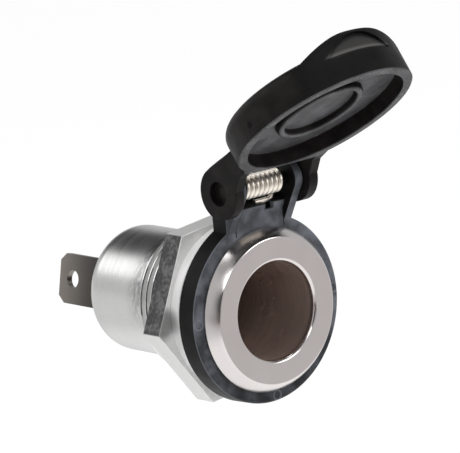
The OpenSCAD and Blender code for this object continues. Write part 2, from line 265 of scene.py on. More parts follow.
def polished_plating(scene):
    """Nickel plate: polished in front, satin and turned on the barrel, dark inside the bore"""
    colours, sizes = scene.socket_colours, scene.socket_shell
    finish = Finish("polished_plating", colours.plate, 0.12, metallic=1)
    along, radius = finish.part("Y"), finish.radius()
    front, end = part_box("shell")[0].y, sizes.thread_end
    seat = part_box("contact_carrier")[0].y
    behind = finish.step(along, 0.0, 1.0 * MM)
    barrel = finish.step(along, end - 0.2 * MM, end + 0.2 * MM)
    inside = finish.band(along, front + 0.3 * MM, front + 0.9 * MM, seat + 0.2 * MM, seat + 0.4 * MM)
    inside = inside * finish.step(radius, BORE + 0.4 * MM, BORE + 0.1 * MM)
    shoulder = finish.step(radius, sizes.face, sizes.face + 0.4 * MM) * (1 - behind)
    cloud = finish.noise(260)
    marks = finish.noise(700, stretch=(0.15, 6, 0.15))
    plate, turned = finish.shades(cloud, colours.plate, 0.06), finish.shades(cloud, colours.barrel, 0.08)

    # Painted shade, mottled, on the upper barrel beside the thread
    mottled_shade = barrel * finish.step(along, end + 4.5 * MM, end + 1.5 * MM)
    mottled_shade = mottled_shade * finish.step(finish.part("Z"), -4 * MM, 2 * MM)
    mottled_shade = mottled_shade * finish.step(finish.noise(1100, 4, (1, 2.5, 1)), 0.25, 0.6)
    outer = finish.mix(mottled_shade * 0.75, finish.mix(behind, plate, turned), tinted(colours.barrel, 0.35))
    finish.feed("Base Color", finish.mix(inside, outer, finish.shades(marks, colours.bore, 0.25)))

    polish, satin = cloud * 0.06 + 0.1, marks * 0.2 + 0.07
    finish.feed("Roughness", polish + barrel * satin + inside * 0.15 + shoulder * 0.14)
    finish.feed("Metallic", 1 - inside * 0.14)
    return finish.bump(marks * barrel + finish.noise(2600) * 0.3, 0.12, 0.06 * MM)


def satin_plating(scene):
    """Pale satin plate with a pitted grain, painted shade on the nut's sides and by its left corner, and a
    mottled painted shade on its left flat
    """
    colours = scene.socket_colours
    finish = Finish("satin_plating", colours.satin, 0.35, metallic=0.2)
    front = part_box("hex_nut")[0].y
    sides = finish.step(finish.part("Y"), front + 0.08 * MM, front + 0.14 * MM)
    # Painted shade, mottled, on the nut's left flat
    flat_shade = sides * finish.step(finish.part("X"), SHADED_FLAT, SHADED_FLAT - 0.15 * MM)
    flat_shade = flat_shade * finish.step(finish.part("Z"), FLAT_SHADE_FOOT, FLAT_SHADE_FOOT + 0.2 * MM)
    # Painted shade on the front face round the nut's left corner
    corner = finish.step(finish.distance((NUT_CORNER, front, 0)), 2.6 * MM, 1.2 * MM) * (1 - sides)
    pits = finish.noise(2200, 4)
    plain = finish.shades(finish.noise(420, 4), colours.satin, 0.04)
    # Painted shade: the nut's sides and that corner darkened
    plain = finish.mix(sides * 0.25 + corner * 0.75, plain, tinted(colours.satin, 0.2))
    blotches = finish.step(pits * 0.6 + finish.noise(600, 4) * 0.4, 0.42, 0.62)
    finish.feed("Base Color", finish.mix(flat_shade, plain, finish.shades(blotches, colours.flat_shade, 0.45)))
    finish.feed("Roughness", pits * 0.3 + 0.22 + flat_shade * 0.15)
    finish.feed("Metallic", sides * 0.4 + 0.15)
    return finish.bump(pits, 0.3, 0.06 * MM)


def spring_steel(scene):
    """Bright drawn wire"""
    wire = scene.socket_colours.wire
    finish = Finish("spring_steel", wire, 0.22, metallic=1)
    finish.feed("Base Color", finish.shades(finish.noise(900), wire, 0.08))
    finish.feed("Roughness", finish.noise(1500, 2) * 0.2 + 0.3)
    return finish.material


def dark_steel(scene):
    """The hinge pin's burnished ends"""
    pin = scene.socket_colours.pin
    finish = Finish("dark_steel", pin, 0.4, metallic=1)
    finish.feed("Base Color", finish.shades(finish.noise(1200), pin, 0.5))
    finish.feed("Roughness", finish.noise(1800, 2) * 0.3 + 0.3)
    return finish.material


def blade_plating(scene):
    """Dull plated brass with faint rolling marks, darker towards the barrel"""
    blade = scene.socket_colours.blade
    finish = Finish("blade_plating", blade, 0.4, metallic=1)
    cloud = finish.noise(350, 4)
    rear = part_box("shell")[1].y
    shade = finish.step(finish.part("Y"), rear + 10.5 * MM, rear + 2 * MM) * 0.9
    finish.feed("Base Color", finish.mix(shade, finish.shades(cloud, blade, 0.15), tinted(blade, 0.2)))
    finish.feed("Roughness", cloud * 0.2 + 0.25)
    return finish.bump(finish.noise(2500, 2, (1, 0.1, 1)), 0.12, 0.05 * MM, edge=0.12 * MM)


def contact_brass(scene):
    """Tarnished turned brass"""
    brass = scene.socket_colours.brass
    finish = Finish("contact_brass", brass, 0.4, metallic=1)
    finish.feed("Base Color", finish.shades(finish.noise(700), brass, 0.35))
    finish.feed("Roughness", finish.noise(900, 2) * 0.2 + 0.3)
    return finish.material


def moulding(finish, relief=1.0, dents=0.0):
    """Fine grain, rounded edges and, where given, dents of a black moulding"""
    finish.feed("Roughness", finish.noise(600, 4) * 0.3 + 0.32)
    grain = finish.noise(5200, 4) + finish.noise(1400) * 0.6
    return finish.bump(grain * relief - dents, 0.16, 0.06 * MM, edge=0.15 * MM)


def ring_moulding(scene):
    """Black moulding whose front faces carry a painted sheen of mottled blue-grey"""
    colours = scene.socket_colours
    finish = Finish("ring_moulding", colours.ring, 0.45, specular=0.14)
    along, height, across = finish.part("Y"), finish.part("Z"), abs(finish.part("X"))
    ear = scene.socket_ring.ears / 2
    tongue = PIN.z - TONGUE_DROP

    # Painted sheen in front, but not between the ears and behind the spring
    cheeks = finish.step(across, ear - 0.12 * MM, ear - 0.04 * MM) * finish.step(height, 9.5 * MM, 9.7 * MM)
    covered = finish.step(height, tongue - 0.2 * MM, tongue - 0.1 * MM)
    no_sheen = finish.step(cheeks + covered, 0, 1) * finish.step(across, ear + 0.08 * MM, ear + 0.04 * MM)
    front = finish.step(along, RING_FRONT + 0.35 * MM, RING_FRONT + 0.2 * MM) * (1 - no_sheen)
    # The painted sheen fades towards the bottom and takes a painted highlight towards the top
    low = finish.step(height, -3 * MM, -11 * MM)
    high = finish.step(height, 1 * MM, 10 * MM)
    cloud = finish.step(finish.noise(420, 5), 0.35, 0.7)
    sheen = finish.mix(low * 0.6, finish.shades(cloud, colours.ring_sheen, 0.6), colours.ring)
    sheen = finish.mix(high * 0.15, sheen, colours.ring_highlight)

    # Painted highlights on the rim's outer edge and in the lines round the ejector marks
    lines = finish.step(finish.radius(), 11.3 * MM, 11.42 * MM)
    lines = lines * finish.step(along, RING_FRONT + 0.1 * MM, RING_FRONT + 0.3 * MM)
    for turn in MARK_TURNS:
        centre = (math.cos(turn) * MARK_REACH, RING_FRONT + 0.1 * MM, math.sin(turn) * MARK_REACH)
        lines = lines + finish.band(finish.distance(centre), *MARK_LINE)
    sheen = finish.mix(lines * 0.7, sheen, colours.ring_highlight)
    finish.feed("Base Color", finish.mix(front, finish.shades(cloud, colours.ring, 0.3), sheen))
    return moulding(finish)


def lid_moulding(scene):
    """Warm black moulding whose underside takes a painted grey sheen and dust specks, drawn on the closed
    lid
    """
    colours, sizes = scene.socket_colours, scene.socket_lid
    finish = Finish("lid_moulding", colours.lid, 0.45, specular=0.12)
    shift = PIN - Matrix.Rotation(LID_OPEN, 3, "X") @ PIN
    closed = {"Vector": finish.place, "Location": shift, "Rotation": (LID_OPEN, 0, 0)}
    finish.place = finish.node("ShaderNodeMapping", {}, closed).outputs[0]
    along, radius, across, height = finish.part("Y"), finish.radius(), finish.part("X"), finish.part("Z")

    # The underside's faces that take the painted grey sheen: the recess's floor, the bead's crest and the
    # rim
    floor, crest, inner = sizes.floor, sizes.floor + sizes.bead_rise, sizes.bead - sizes.bead_wall
    level = finish.band(along, floor - 0.3 * MM, floor - 0.1 * MM, floor + 0.02 * MM, floor + 0.08 * MM)
    level = level * finish.step(radius, sizes.recess + 0.2 * MM, sizes.recess)
    bead = finish.step(along, crest - 0.2 * MM, crest) * finish.step(radius, 7 * MM, 6 * MM)
    rim = finish.step(along, LID_RIM - 0.2 * MM, LID_RIM - 0.05 * MM)
    rim = rim * finish.step(radius, 11.7 * MM, 11.5 * MM)
    under = finish.step(level + bead + rim, 0, 1)
    disc = finish.step(radius, inner + 0.1 * MM, inner)
    cloud = finish.step(finish.noise(380, 5), 0.35, 0.7)
    specks = finish.step(finish.noise(3800, 2), 0.65, 0.69) * under * (1 - disc)
    dust_and_sheen = finish.mix(specks, finish.shades(cloud, colours.lid_sheen, 0.3), colours.speck)

    # The grip's end, darkened near to black, with painted shade in the ejector dimple, and the nail scoop
    # in it with a painted sheen and a painted highlight along its foot
    grip = finish.step(height, SCOOP_SIDE + 3 * MM, SCOOP_SIDE)
    scoop = finish.step(along - SCOOP_TOP - across * across * SCOOP_OPENS, 0, 0.7 * MM)
    scoop = scoop * finish.step(along, SCOOP_FOOT, SCOOP_FOOT - 0.2 * MM)
    scoop = scoop * finish.step(height, SCOOP_SIDE, SCOOP_SIDE - 0.5 * MM)
    ridge = scoop * finish.step(along, SCOOP_FOOT - 0.65 * MM, SCOOP_FOOT - 0.25 * MM)
    dimple = finish.step(finish.distance(DIMPLE), 0.5 * MM, 0.3 * MM)
    outer = finish.mix(grip * 0.7 + dimple, finish.shades(cloud, colours.lid, 0.4), (0.001, 0.001, 0.001))
    outer = finish.mix(ridge, finish.mix(scoop, outer, colours.lid_scoop_sheen), colours.lid_ridge_highlight)
    finish.feed("Base Color", finish.mix(under, outer, dust_and_sheen))

    # The mould's parting line beside the grip
    line = finish.step(abs(across - PARTING), 0.14 * MM, 0.04 * MM)
    line = line * finish.step(height, SCOOP_SIDE + 1 * MM, SCOOP_SIDE + 0.5 * MM)
    line = line * finish.step(along, -5.3 * MM, -5.0 * MM)
    return moulding(finish, 1 - under * 0.5, line * 7 + dimple * 12)


def brown_insulator(scene):
    """Dark brown laminate"""
    laminate = scene.socket_colours.laminate
    finish = Finish("brown_insulator", laminate, 0.55)
    layers = finish.noise(1200, stretch=(1, 6, 1))
    finish.feed("Base Color", finish.shades(layers, laminate, 0.5))
    return finish.bump(layers, 0.1, 0.05 * MM)


FINISHES = {
    "polished_plating": polished_plating,
    "satin_plating": satin_plating,
    "spring_steel": spring_steel,
    "blade_plating": blade_plating,
    "contact_brass": contact_brass,
    "dark_steel": dark_steel,
    "ring_moulding": ring_moulding,
    "lid_moulding": lid_moulding,
    "brown_insulator": brown_insulator,
}
# The record's slot of each finish that isn't named as its slot, and the CAD nodes that take such a finish
NODE_FINISHES = {"hinge_pin": "dark_steel", "base_ring": "ring_moulding", "lid": "lid_moulding"}


def finish_named(name):
    """The finish of that name, made once; the CAD nodes bring plain materials named as the slots"""
    return bpy.data.materials.get(f"{name}_finish") or FINISHES[name](bpy.context.scene)


def length(name, description, millimetres):
    return bpy.props.FloatProperty(
        name=name, description=description, default=millimetres * MM, unit="LENGTH", precision=5
    )


def angle(name, description, degrees):
    return bpy.props.FloatProperty(
        name=name, description=description, default=math.radians(degrees), subtype="ANGLE"
    )


def pixels(name, description, count):
    return bpy.props.FloatProperty(name=name, description=description, default=count)


def colour(name, description, value):
    return bpy.props.FloatVectorProperty(
        name=name, description=description, default=value, subtype="COLOR", min=0, max=1
    )


class Colours(bpy.types.PropertyGroup):
    """Main colours of the finishes"""

    plate: colour("Plate", "Polished plate of the flange", (0.7, 0.665, 0.655))
    barrel: colour("Barrel", "Turned plate of the barrel and the thread", (0.72, 0.72, 0.715))
    bore: colour("Bore", "Plate inside the bore", (0.88, 0.75, 0.69))
    satin: colour("Satin plate", "Nut and washer", (0.95, 0.945, 0.94))
    # Painted shade on the nut's left flat, mottled
    flat_shade: colour("Flat shade", "The shaded flat of the nut", (0.13, 0.13, 0.13))
    wire: colour("Wire", "Drawn wire of the spring", (0.92, 0.86, 0.78))
    pin: colour("Pin", "Ends of the hinge pin", (0.03, 0.026, 0.024))
    blade: colour("Blade", "Plated blades", (0.32, 0.29, 0.265))
    brass: colour("Brass", "Contact and rivet", (0.11, 0.08, 0.06))
    ring: colour("Ring", "Sides of the ring", (0.007, 0.0068, 0.0068))
    # Painted sheen on the ring's front faces
    ring_sheen: colour("Ring front", "Painted sheen on front of the ring", (0.1, 0.106, 0.122))
    # Painted highlights on the ring's edge, its marks' outlines and its upper front
    ring_highlight: colour("Ring edge", "Painted sheen on edge and ejector marks' outlines", (0.26, 0.28, 0.31))
    lid: colour("Lid", "Outside of the lid", (0.014, 0.012, 0.0115))
    # Painted grey sheen on the lid's underside
    lid_sheen: colour("Lid's underside", "Rim and recess of the lid", (0.105, 0.105, 0.11))
    # Painted sheen in the nail scoop
    lid_scoop_sheen: colour("Scoop", "Nail scoop of the lid", (0.042, 0.041, 0.04))
    # Painted highlight along the scoop's foot
    lid_ridge_highlight: colour("Ridge", "Lower edge of the nail scoop", (0.1, 0.096, 0.094))
    speck: colour("Specks", "Dust on the lid's underside", (0.3, 0.3, 0.3))
    laminate: colour("Laminate", "Insulators", (0.04, 0.024, 0.016))


class ShellSizes(bpy.types.PropertyGroup):
    """Sizes of the turned shell that the frame doesn't give"""

    face: length("Face", "Radius of the flat front face", 8.95)
    face_edge: length("Face edge", "Radius of the face's outer edge", 0.3)
    shoulder: length("Shoulder", "Height of the rounded shoulder", 1.5)
    mouth: length("Mouth", "Radius of the rounded bore mouth", 0.45)
    crest: length("Thread crest", "Radius of the thread's crests", 9.0)
    root: length("Thread root", "Radius of the thread's roots", 8.45)
    pitch: length("Pitch", "Pitch of the thread", 1.0)
    thread_end: length("Thread end", "Where the thread ends behind the panel seat", 10.7)
    barrel: length("Barrel", "Radius of the smooth barrel", 7.85)
    roll: length("Roll", "Radius of the rolled rear edge", 2.6)
    lip: length("Lip", "Depth of the rolled lip", 1.2)
    wall: length("Wall", "Wall round the contact carrier", 0.95)


class NutSizes(bpy.types.PropertyGroup):
    """Sizes of the nut and its washer that the frame doesn't give"""

    flats: length("Flats", "Width across the nut's flats", 21.3)
    turn: angle("Turn", "Angle of the nut's first corner above +X", 6.5)
    edge: length("Edge", "Bevel of the nut's outer edges", 0.1)
    chamfer: length("Chamfer", "Bevel of the nut's bore", 0.3)
    play: length("Play", "Gap between the nut's bore and the thread's crests", 0.03)
    washer_bore: length("Washer bore", "Radius of the washer's bore", 9.1)
    washer_gap: length("Washer gap", "Gap to the ring when the nut is tight", 0.02)


class RingSizes(bpy.types.PropertyGroup):
    """Sizes of the web behind the spring"""

    ears: length("Ears", "Clear width between the ring's ears", 7.6)
    web: length("Web", "Thickness of the web", 1.3)
    web_rise: length("Web rise", "Height of the web", 1.9)


class LidSizes(bpy.types.PropertyGroup):
    """Sizes of the lid's underside, with the lid closed"""

    floor: length("Floor", "Place of the recess's floor along the axis", -4.75)
    recess: length("Recess", "Radius of the recess", 10.15)
    bead: length("Bead", "Outer radius of the bead", 5.6)
    bead_wall: length("Bead wall", "Width of the bead", 0.95)
    bead_rise: length("Bead rise", "Height of the bead over the floor", 0.85)
    bead_round: length("Bead rounding", "Radius of the bead's edges", 0.42)
    fillet: length("Fillet", "Radius where the bead meets the floor", 0.2)


class SpringSizes(bpy.types.PropertyGroup):
    """Sizes of the lid's spring"""

    wire: length("Wire", "Diameter of the wire", 0.65)
    coil: length("Coil", "Radius of the coil at the middle of the wire", 1.195)
    reach: length("Reach", "Distance of the lid leg from the middle", 3.325)
    start: length("Start", "Distance of the coil's other end from the middle", 2.65)
    turns: bpy.props.IntProperty(
        name="Turns", description="Turns of the coil, less what the open lid takes up", default=9
    )
    lid_leg: length("Lid leg", "Length of the leg that presses on the lid", 5.7)
    ring_leg: length("Ring leg", "Length of the leg that lies on the tongue", 2.2)
    bend: length("Bend", "Radius of the ring leg's bend", 0.55)


class CameraSizes(bpy.types.PropertyGroup):
    """Where the photograph was taken from"""

    turn: angle("Turn", "Angle from the socket's axis towards -X", 39.57)
    rise: angle("Rise", "Angle above the socket's axis", 11.97)
    roll: angle("Roll", "Turn of the picture", -5.25)
    distance: length("Distance", "Distance from the socket", 450)
    focal: pixels("Focal length", "Focal length in picture pixels", 3732.85)
    across: pixels("Across", "Picture column of the socket's origin", 252.85)
    down: pixels("Down", "Picture row of the socket's origin", 306.71)


def rounded(corners, steps=6):
    """A closed outline from (across, along, radius) corners, each rounded to its radius"""
    points = []
    for index, (across, along, radius) in enumerate(corners):
        here = Vector((across, along))
        if not radius:
            points.append(here)
            continue
        before = (Vector(corners[index - 1][:2]) - here).normalized()
        after = (Vector(corners[(index + 1) % len(corners)][:2]) - here).normalized()
        half = before.angle(after) / 2
        centre = here + (before + after).normalized() * (radius / math.sin(half))
        first = here + before * (radius / math.tan(half)) - centre
        last = here + after * (radius / math.tan(half)) - centre
        for step in range(steps + 1):
            points.append(centre + first.slerp(last, step / steps).normalized() * radius)
    return points


def spun(form, outline, steps=128):
    """Turns a closed outline of (radius, y) points about the socket's axis"""
    verts = [form.verts.new((radius, along, 0)) for radius, along in outline]
    edges = [form.edges.new(pair) for pair in zip(verts, verts[1:] + verts[:1])]
    full_turn(form, verts + edges, steps)


def full_turn(form, geom, steps):
    """Turns points and edges once round the socket's axis"""
    bmesh.ops.spin(form, geom=geom, axis=AXIS, cent=(0, 0, 0), steps=steps, angle=math.tau, use_merge=True)


def moved(grown):
    """The points of what an extrusion grew"""
    return [vert for vert in grown["geom"] if isinstance(vert, bmesh.types.BMVert)]


def piece(name, form, finish, body, replaced=(), sharp=40):
    """Makes the finished object of a form, smooth but for its sharp edges"""
    bmesh.ops.remove_doubles(form, verts=form.verts, dist=SAME_POINT)
    bmesh.ops.recalc_face_normals(form, faces=form.faces)
    for edge in form.edges:
        edge.smooth = edge.calc_face_angle(0) < math.radians(sharp)
    for face in form.faces:
        face.smooth = True
    mesh = bpy.data.meshes.new(name)
    form.to_mesh(mesh)
    form.free()
    obj = bpy.data.objects.new(name, mesh)
    bpy.context.scene.collection.objects.link(obj)
    mesh.materials.append(finish_named(finish))
    weighted = obj.modifiers.new("weighted_normals", "WEIGHTED_NORMAL")
    weighted.keep_sharp = True
    if body:
        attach(obj, body)
    if replaced:
        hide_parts(*replaced)
    return obj


class SOCKET_OT_shell(bpy.types.Operator):
    """Turns the shell, with its thread and rolled rear edge"""

    bl_idname = "socket.shell"
    bl_label = "Shell"

    def execute(self, context):
        sizes = context.scene.socket_shell
        low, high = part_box("shell")
        form = bmesh.new()
        spun(form, self.outline(sizes, high.x, low.y, high.y))
        self.thread(form, sizes)
        piece("shell_skin", form, "polished_plating", "socket", ["shell"], sharp=20)
        return {"FINISHED"}

    def outline(self, sizes, flange, face, rear):
        """Up the bore, over the face and the shoulder, and back along the shank and the barrel"""
        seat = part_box("contact_carrier")[0].y
        first, last = SHOULDER_TURNS
        shoulder = []
        for step in range(SHOULDER_STEPS + 1):
            turn = first + (last - first) * step / SHOULDER_STEPS
            out = (math.sin(turn) - math.sin(first)) / (math.sin(last) - math.sin(first))
            down = (math.cos(first) - math.cos(turn)) / (math.cos(first) - math.cos(last))
            soft = 0 if step else sizes.face_edge
            shoulder.append((sizes.face + (flange - sizes.face) * out, face + sizes.shoulder * down, soft))
        lip = sizes.barrel - sizes.roll
        inside = sizes.barrel - sizes.wall
        return rounded(
            [
                (BORE, seat, 0),
                (BORE, face, sizes.mouth),
                *shoulder,
                (flange, RING_FRONT, 0.1 * MM),
                (sizes.crest, RING_FRONT, 0),
                (sizes.crest, 0, 0),
                (sizes.root, 0, 0),
                (sizes.root, sizes.thread_end, 0),
                (sizes.barrel, sizes.thread_end + 0.3 * MM, 0),
                (sizes.barrel, rear, sizes.roll),
                (lip, rear, 0.15 * MM),
                (lip, rear - sizes.lip, 0),
                (inside, rear - sizes.lip, 0),
                (inside, seat, 0),
            ],
            steps=12,
        )

    def thread(self, form, sizes):
        """One pitch's outline, turned along the shank as a right-hand screw and cut square at both ends"""
        steps = 72
        turns = math.ceil(sizes.thread_end / sizes.pitch) + 2
        root, crest = sizes.root, sizes.crest
        profile = [(0, root), (0.14, root), (0.4, crest), (0.54, crest), (0.8, root), (1, root)]
        # The screw starts this many pitches before the seat
        before = 1.5
        verts = [form.verts.new((radius, (share - before) * sizes.pitch, 0)) for share, radius in profile]
        edges = [form.edges.new(pair) for pair in zip(verts, verts[1:])]
        old = set(form.verts) - set(verts)
        bmesh.ops.spin(
            form, geom=verts + edges, axis=AXIS, cent=(0, 0, 0), dvec=(0, sizes.pitch / steps, 0),
            steps=steps * turns, angle=math.tau * turns,
        )
        screw = [vert for vert in form.verts if vert not in old]
        bmesh.ops.remove_doubles(form, verts=screw, dist=SAME_POINT)
        for place, way in ((0.05 * MM, -1), (sizes.thread_end, 1)):
            screw = {vert for vert in form.verts if vert not in old}
            faces = [face for face in form.faces if screw.issuperset(face.verts)]
            edges = [edge for edge in form.edges if screw.issuperset(edge.verts)]
            cut = bmesh.ops.bisect_plane(
                form, geom=[*screw, *edges, *faces], plane_co=(0, place, 0), plane_no=(0, way, 0),
                clear_outer=True,
            )
            rim = [edge for edge in cut["geom_cut"] if isinstance(edge, bmesh.types.BMEdge)]
            grown = bmesh.ops.extrude_edge_only(form, edges=rim)
            # Each end's rim is carried in under the shank
            sunk = 0.93
            bmesh.ops.scale(form, vec=(sunk, 1, sunk), verts=moved(grown))


class SOCKET_OT_nut(bpy.types.Operator):
    """Makes the hex nut and the clamp washer"""

    bl_idname = "socket.nut"
    bl_label = "Nut and washer"

    def execute(self, context):
        sizes = context.scene.socket_nut
        low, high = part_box("hex_nut")
        bore = context.scene.socket_shell.crest + sizes.play
        corner = sizes.flats / math.sqrt(3)
        form = bmesh.new()
        bmesh.ops.create_circle(form, segments=6, radius=corner)
        bmesh.ops.create_circle(form, segments=96, radius=bore)
        bmesh.ops.triangle_fill(form, use_beauty=True, use_dissolve=False, edges=form.edges)
        turn = Matrix.Rotation(sizes.turn - math.pi / 2, 3, "Z")
        bmesh.ops.rotate(form, verts=form.verts, cent=(0, 0, 0), matrix=turn)
        grown = bmesh.ops.extrude_face_region(form, geom=form.faces)
        bmesh.ops.translate(form, vec=(0, 0, high.y - low.y), verts=moved(grown))
        bmesh.ops.recalc_face_normals(form, faces=form.faces)
        crease = 0.5
        for inside, width, steps in ((True, sizes.chamfer, 1), (False, sizes.edge, 3)):
            chosen = []
            for edge in form.edges:
                sides = {vert.co.xy.length < bore + 0.01 * MM for vert in edge.verts}
                if sides == {inside} and edge.calc_face_angle(0) > crease:
                    chosen.append(edge)
            bmesh.ops.bevel(
                form, geom=chosen, offset=width, affect="EDGES", segments=steps, profile=0.5, material=-1,
                clamp_overlap=True,
            )
        upright = Matrix.Rotation(math.pi / 2, 3, "X")
        bmesh.ops.rotate(form, verts=form.verts, cent=(0, 0, 0), matrix=upright)
        bmesh.ops.translate(form, vec=(0, high.y, 0), verts=form.verts)
        piece("nut_body", form, "satin_plating", "nut", ["hex_nut"])

        low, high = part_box("clamp_washer")
        front = low.y + sizes.washer_gap
        form = bmesh.new()
        spun(
            form,
            rounded(
                [
                    (sizes.washer_bore, front, 0.1 * MM),
                    (high.x, front, 0.15 * MM),
                    (high.x, high.y, 0.1 * MM),
                    (sizes.washer_bore, high.y, 0.1 * MM),
                ],
                steps=4,
            ),
        )
        piece("washer_body", form, "satin_plating", "washer", ["clamp_washer"])
        return {"FINISHED"}


class Wire:
    """A round wire formed as on a bending machine, from a place and a way"""

    def __init__(self, form, place, way, radius):
        self.form = form
        self.place = Vector(place)
        self.way = Vector(way).normalized()
        made = bmesh.ops.create_circle(form, cap_ends=True, segments=14, radius=radius)["verts"]
        turn = self.way.to_track_quat("Z", "Y").to_matrix()
        bmesh.ops.rotate(form, verts=made, cent=(0, 0, 0), matrix=turn)
        bmesh.ops.translate(form, vec=self.place, verts=made)
        self.end = [face for face in form.faces if set(face.verts) == set(made)]

    def run(self, distance):
        """Feeds the wire straight on"""
        grown = bmesh.ops.extrude_face_region(self.form, geom=self.end)["geom"]
        bmesh.ops.delete(self.form, geom=self.end, context="FACES_ONLY")
        self.end = [face for face in grown if isinstance(face, bmesh.types.BMFace)]
        self.place += self.way * distance
        bmesh.ops.translate(self.form, vec=self.way * distance, verts=self.end[0].verts)

    def bend(self, centre, axis, winding, steps, drift=0.0):
        """Winds the wire about an axis, drifting along it"""
        axis = Vector(axis).normalized()
        made = bmesh.ops.spin(
            self.form, geom=self.end, cent=centre, axis=axis, dvec=axis * (drift / steps), steps=steps,
            angle=winding,
        )["geom_last"]
        self.end = [face for face in made if isinstance(face, bmesh.types.BMFace)]
        turn = Matrix.Rotation(winding, 3, axis)
        self.place = Vector(centre) + turn @ (self.place - Vector(centre)) + axis * drift
        self.way = turn @ self.way


class SOCKET_OT_spring(bpy.types.Operator):
    """Winds the lid's spring with its two legs"""

    bl_idname = "socket.spring"
    bl_label = "Spring"

    def execute(self, context):
        sizes = context.scene.socket_spring
        across = Vector((1, 0, 0))
        right, left = PIN + across * sizes.start, PIN - across * sizes.reach
        start = right + Vector((0, sizes.coil, 0))
        form = bmesh.new()
        wire = Wire(form, start, (0, 0, 1), sizes.wire / 2)
        winding = math.tau * sizes.turns - math.pi - LID_OPEN
        steps_a_turn = 24
        wire.bend(right, across, winding, sizes.turns * steps_a_turn, left.x - right.x)
        wire.run(sizes.lid_leg)
        coil = piece("spring_coil", form, "spring_steel", None, ["lid_spring"])
        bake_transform(coil)

        form = bmesh.new()
        wire = Wire(form, start, (0, 0, -1), sizes.wire / 2)
        # The leg lies in the tongue's notch, a third of its wire deep
        notch = PIN.z - TONGUE_DROP + sizes.wire / 6
        wire.run(start.z - notch - sizes.bend)
        wire.bend(wire.place - across * sizes.bend, (0, 1, 0), math.pi / 2, 6)
        wire.run(sizes.ring_leg)
        piece("spring_ring_leg", form, "spring_steel", "socket", ["lid_spring"])
        return {"FINISHED"}


class SOCKET_OT_ring_web(bpy.types.Operator):
    """Adds the web that joins the ring's ears behind the spring"""

    bl_idname = "socket.ring_web"
    bl_label = "Ring web"

    def execute(self, context):
        sizes = context.scene.socket_ring
        form = bmesh.new()
        bmesh.ops.create_cube(form, size=1)
        bmesh.ops.scale(form, vec=(sizes.ears, sizes.web, sizes.web_rise), verts=form.verts)
        # A quarter of it stands in the tongue, just before the ring's rear face
        middle = Vector((0, -sizes.web / 2 - 0.05 * MM, PIN.z - TONGUE_DROP + sizes.web_rise / 4))
        bmesh.ops.translate(form, vec=middle, verts=form.verts)
        top = [edge for edge in form.edges if all(vert.co.z > middle.z for vert in edge.verts)]
        bmesh.ops.bevel(
            form, geom=top, offset=0.25 * MM, affect="EDGES", segments=4, profile=0.5, material=-1
        )
        piece("ring_web", form, "ring_moulding", "socket")
        return {"FINISHED"}


class SOCKET_OT_lid(bpy.types.Operator):
    """Finishes the lid's underside: a rounded bead on a filleted floor"""

    bl_idname = "socket.lid"
    bl_label = "Lid"

    def execute(self, context):
        sizes = context.scene.socket_lid
        form = bmesh.new()
        form.from_mesh(frame["nodes"]["lid"].data)
        bmesh.ops.remove_doubles(form, verts=form.verts, dist=SAME_POINT)
        close = Matrix.Rotation(LID_OPEN, 3, "X")
        bmesh.ops.rotate(form, verts=form.verts, cent=PIN, matrix=close)
        near = 0.02 * MM

        def on_floor(vert):
            return abs(vert.co.y - sizes.floor) < near and vert.co.xz.length < sizes.recess + near

        def in_bead(vert):
            return vert.co.xz.length < sizes.bead + near and vert.co.y > sizes.floor - near

        gone = [face for face in form.faces if all(on_floor(vert) or in_bead(vert) for vert in face.verts)]
        if not gone:
            raise RuntimeError("The CAD lid's recess isn't where the lid's sizes say")
        bmesh.ops.delete(form, geom=gone, context="FACES")
        old = set(form.verts)
        crest, inner = sizes.floor + sizes.bead_rise, sizes.bead - sizes.bead_wall
        outline = rounded(
            [
                (sizes.bead + 2 * sizes.fillet, sizes.floor, 0),
                (sizes.bead, sizes.floor, sizes.fillet),
                (sizes.bead, crest, sizes.bead_round),
                (inner, crest, sizes.bead_round),
                (inner, sizes.floor, sizes.fillet),
                (0, sizes.floor, 0),
            ]
        )
        verts = [form.verts.new((radius, along, 0)) for radius, along in outline]
        edges = [form.edges.new(pair) for pair in zip(verts, verts[1:])]
        full_turn(form, verts + edges, 96)
        new = [vert for vert in form.verts if vert not in old]
        bmesh.ops.remove_doubles(form, verts=new, dist=SAME_POINT)
        rims = [edge for edge in form.edges if edge.is_boundary and all(map(on_floor, edge.verts))]
        bmesh.ops.triangle_fill(form, use_beauty=True, use_dissolve=False, edges=rims)
        bmesh.ops.rotate(form, verts=form.verts, cent=PIN, matrix=close.inverted())
        piece("lid_body", form, "lid_moulding", "lid", ["lid"], sharp=28)
        return {"FINISHED"}


class SOCKET_OT_cad_finishes(bpy.types.Operator):
    """Gives each CAD node the finish of its material slot"""

    bl_idname = "socket.cad_finishes"
    bl_label = "Finish the CAD nodes"

    def execute(self, context):
        for row in RECORD["subparts"]:
            name = row["node"]
            materials = frame["nodes"][name].data.materials
            materials.clear()
            materials.append(finish_named(NODE_FINISHES.get(name, row["material_slot"])))
        return {"FINISHED"}


def soft_lamp(name, place, aim, size, power):
    """A square lamp of that width in metres and power in watts"""
    data = bpy.data.lights.new(name, "AREA")
    data.shape = "SQUARE"
    data.size = size
    data.energy = power
    lamp = bpy.data.objects.new(name, data)
    lamp.location = place
    lamp.rotation_euler = (Vector(aim) - Vector(place)).to_track_quat("-Z", "Y").to_euler()
    bpy.context.scene.collection.objects.link(lamp)


